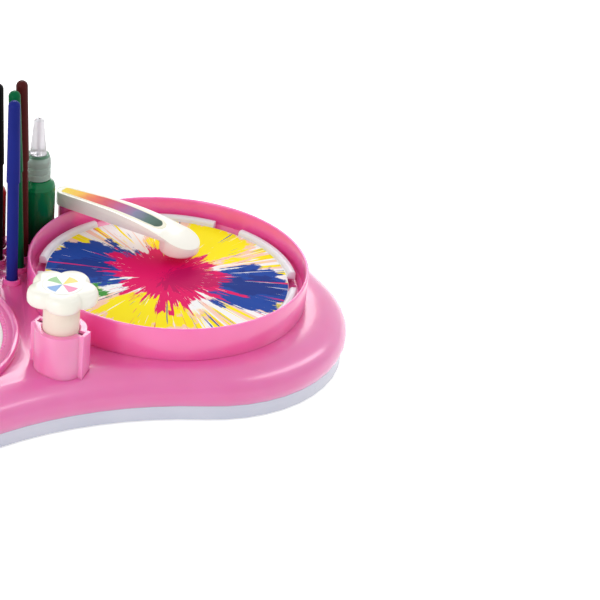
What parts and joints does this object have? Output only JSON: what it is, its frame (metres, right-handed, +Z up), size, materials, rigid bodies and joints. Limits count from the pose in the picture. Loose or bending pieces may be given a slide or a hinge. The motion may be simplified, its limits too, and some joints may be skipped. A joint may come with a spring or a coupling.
{
  "type": "spin art machine",
  "caption": "Table-top spin art machine: a push button spins a platter in a splash bowl through a rack and gears, beside a toothed drawing ring, with pens and bottles in a holder.",
  "frame": {"origin": "on the ground under the middle of the body", "axes": "+X from the drawing ring to the splash bowl, +Y to the back, +Z up"},
  "size_m": [0.437, 0.2372, 0.1686],
  "materials": {
    "pale_base": "satin moulded plastic",
    "pink_shell": "glossy moulded plastic",
    "pink_ring": "glossy moulded plastic",
    "cream_plastic": "glossy moulded plastic",
    "white_plastic": "satin moulded plastic",
    "grey_rubber": "matt rubber",
    "steel": "plain steel",
    "brass": "turned brass",
    "gear_plastic": "natural acetal",
    "gear_blue": "coloured acetal",
    "paper": "white card",
    "sticker": "printed film",
    "label": "printed film",
    "pen_brown": "glossy plastic",
    "pen_green": "glossy plastic",
    "pen_blue": "glossy plastic",
    "pen_black": "glossy plastic",
    "pen_red": "glossy plastic",
    "pen_yellow": "glossy plastic",
    "paint_green": "paint in a clear bottle",
    "paint_red": "paint in a clear bottle",
    "paint_blue": "paint in a clear bottle",
    "clear_plastic": "milky clear plastic"
  },
  "bodies": {
    "machine": {"base_tray": "pale_base", "feet": "grey_rubber", "deck": "pink_shell", "casing_screws": "steel", "splash_bowl": "pink_shell", "spindle_bush": "brass", "drawing_ring": "pink_ring", "drawing_paper": "paper", "holder": "pink_shell", "button_tower": "pink_shell", "return_spring": "steel", "gear_frame": "white_plastic", "frame_screws": "steel", "drive_axle": "steel", "idler_axle": "steel", "arm_post": "pink_shell"},
    "turntable": {"platter": "white_plastic", "paper_card": "paper", "spindle": "steel", "spindle_gear": "gear_plastic"},
    "button": {"button_stem": "cream_plastic", "knob": "cream_plastic", "knob_sticker": "sticker"},
    "crown_set": {"rack_pinion": "gear_plastic", "crown_shaft": "steel", "crown_gear": "gear_plastic"},
    "drive_wheel": {"drive_gear": "gear_plastic"},
    "idler_wheel": {"idler_gear": "gear_blue"},
    "arm": {"swing_arm": "cream_plastic", "arm_label": "label"},
    "lid": {"storage_lid": "white_plastic"},
    "brown_pen": {"pen_brown": "pen_brown"},
    "brown_cap": {"cap_brown": "pen_brown"},
    "green_pen": {"pen_green": "pen_green"},
    "green_cap": {"cap_green": "pen_green"},
    "blue_pen": {"pen_blue": "pen_blue"},
    "blue_cap": {"cap_blue": "pen_blue"},
    "black_pen": {"pen_black": "pen_black"},
    "black_cap": {"cap_black": "pen_black"},
    "red_pen": {"pen_red": "pen_red"},
    "red_cap": {"cap_red": "pen_red"},
    "yellow_pen": {"pen_yellow": "pen_yellow"},
    "yellow_cap": {"cap_yellow": "pen_yellow"},
    "green_bottle": {"bottle_green": "paint_green", "collar_green": "clear_plastic", "nozzle_green": "clear_plastic"},
    "red_bottle": {"bottle_red": "paint_red", "collar_red": "clear_plastic", "nozzle_red": "clear_plastic"},
    "blue_bottle": {"bottle_blue": "paint_blue", "collar_blue": "clear_plastic", "nozzle_blue": "clear_plastic"}
  },
  "joints": [
    {"name": "platter_spin", "type": "hinge", "parent": "machine", "child": "turntable", "pos_m": [0.1025, 0, 0.04], "axis": [0, 0, -1], "range_deg": [0, 895.25]},
    {"name": "button_press", "type": "slide", "parent": "machine", "child": "button", "axis": [0, 0, -1], "range_m": [0, 0.0125], "stiffness_N_per_m": 150, "springref_m": -0.006, "deforming": ["return_spring"]},
    {"name": "crown_turn", "type": "hinge", "parent": "machine", "child": "crown_set", "pos_m": [0, -0.061, 0.0187], "axis": [1, 0, 0], "range_deg": [0, 119.38]},
    {"name": "drive_turn", "type": "hinge", "parent": "machine", "child": "drive_wheel", "pos_m": [0.032, -0.061, 0.005], "axis": [0, 0, -1], "range_deg": [0, 358.11]},
    {"name": "idler_turn", "type": "hinge", "parent": "machine", "child": "idler_wheel", "pos_m": [0.08403, -0.03772, 0.005], "axis": [0, 0, 1], "range_deg": [0, 279.77]},
    {"name": "arm_swing", "type": "hinge", "parent": "machine", "child": "arm", "pos_m": [0.06504, 0.09272, 0.058], "axis": [0, 0, 1], "range_deg": [-55, 30]},
    {"name": "lid_release", "type": "slide", "parent": "machine", "child": "lid", "axis": [0, 0, -1], "range_m": [0, 0.03]},
    {"name": "brown_pen_lift", "type": "slide", "parent": "machine", "child": "brown_pen", "axis": [-0.0297, 0, 0.9996], "range_m": [0, 0.06]},
    {"name": "brown_cap_pull", "type": "slide", "parent": "brown_pen", "child": "brown_cap", "axis": [-0.0297, 0, 0.9996], "range_m": [0, 0.03]},
    {"name": "green_pen_lift", "type": "slide", "parent": "machine", "child": "green_pen", "axis": [-0.0454, 0, 0.999], "range_m": [0, 0.06]},
    {"name": "green_cap_pull", "type": "slide", "parent": "green_pen", "child": "green_cap", "axis": [-0.0454, 0, 0.999], "range_m": [0, 0.03]},
    {"name": "blue_pen_lift", "type": "slide", "parent": "machine", "child": "blue_pen", "axis": [-0.0087, 0, 1], "range_m": [0, 0.06]},
    {"name": "blue_cap_pull", "type": "slide", "parent": "blue_pen", "child": "blue_cap", "axis": [-0.0087, 0, 1], "range_m": [0, 0.03]},
    {"name": "black_pen_lift", "type": "slide", "parent": "machine", "child": "black_pen", "axis": [-0.0157, 0, 0.9999], "range_m": [0, 0.06]},
    {"name": "black_cap_pull", "type": "slide", "parent": "black_pen", "child": "black_cap", "axis": [-0.0157, 0, 0.9999], "range_m": [0, 0.03]},
    {"name": "red_pen_lift", "type": "slide", "parent": "machine", "child": "red_pen", "axis": [-0.0209, 0, 0.9998], "range_m": [0, 0.06]},
    {"name": "red_cap_pull", "type": "slide", "parent": "red_pen", "child": "red_cap", "axis": [-0.0209, 0, 0.9998], "range_m": [0, 0.03]},
    {"name": "yellow_pen_lift", "type": "slide", "parent": "machine", "child": "yellow_pen", "axis": [-0.0314, 0, 0.9995], "range_m": [0, 0.06]},
    {"name": "yellow_cap_pull", "type": "slide", "parent": "yellow_pen", "child": "yellow_cap", "axis": [-0.0314, 0, 0.9995], "range_m": [0, 0.03]},
    {"name": "green_bottle_lift", "type": "slide", "parent": "machine", "child": "green_bottle", "axis": [0, 0, 1], "range_m": [0, 0.06]},
    {"name": "red_bottle_lift", "type": "slide", "parent": "machine", "child": "red_bottle", "axis": [0, 0, 1], "range_m": [0, 0.06]},
    {"name": "blue_bottle_lift", "type": "slide", "parent": "machine", "child": "blue_bottle", "axis": [0, 0, 1], "range_m": [0, 0.06]}
  ],
  "couplings": [
    {"joint": "button_press", "follows": "platter_spin", "m_per_rad": 0.0008},
    {"joint": "crown_turn", "follows": "platter_spin", "ratio": 0.13333},
    {"joint": "drive_turn", "follows": "platter_spin", "ratio": 0.4},
    {"joint": "idler_turn", "follows": "platter_spin", "ratio": 0.3125}
  ]
}
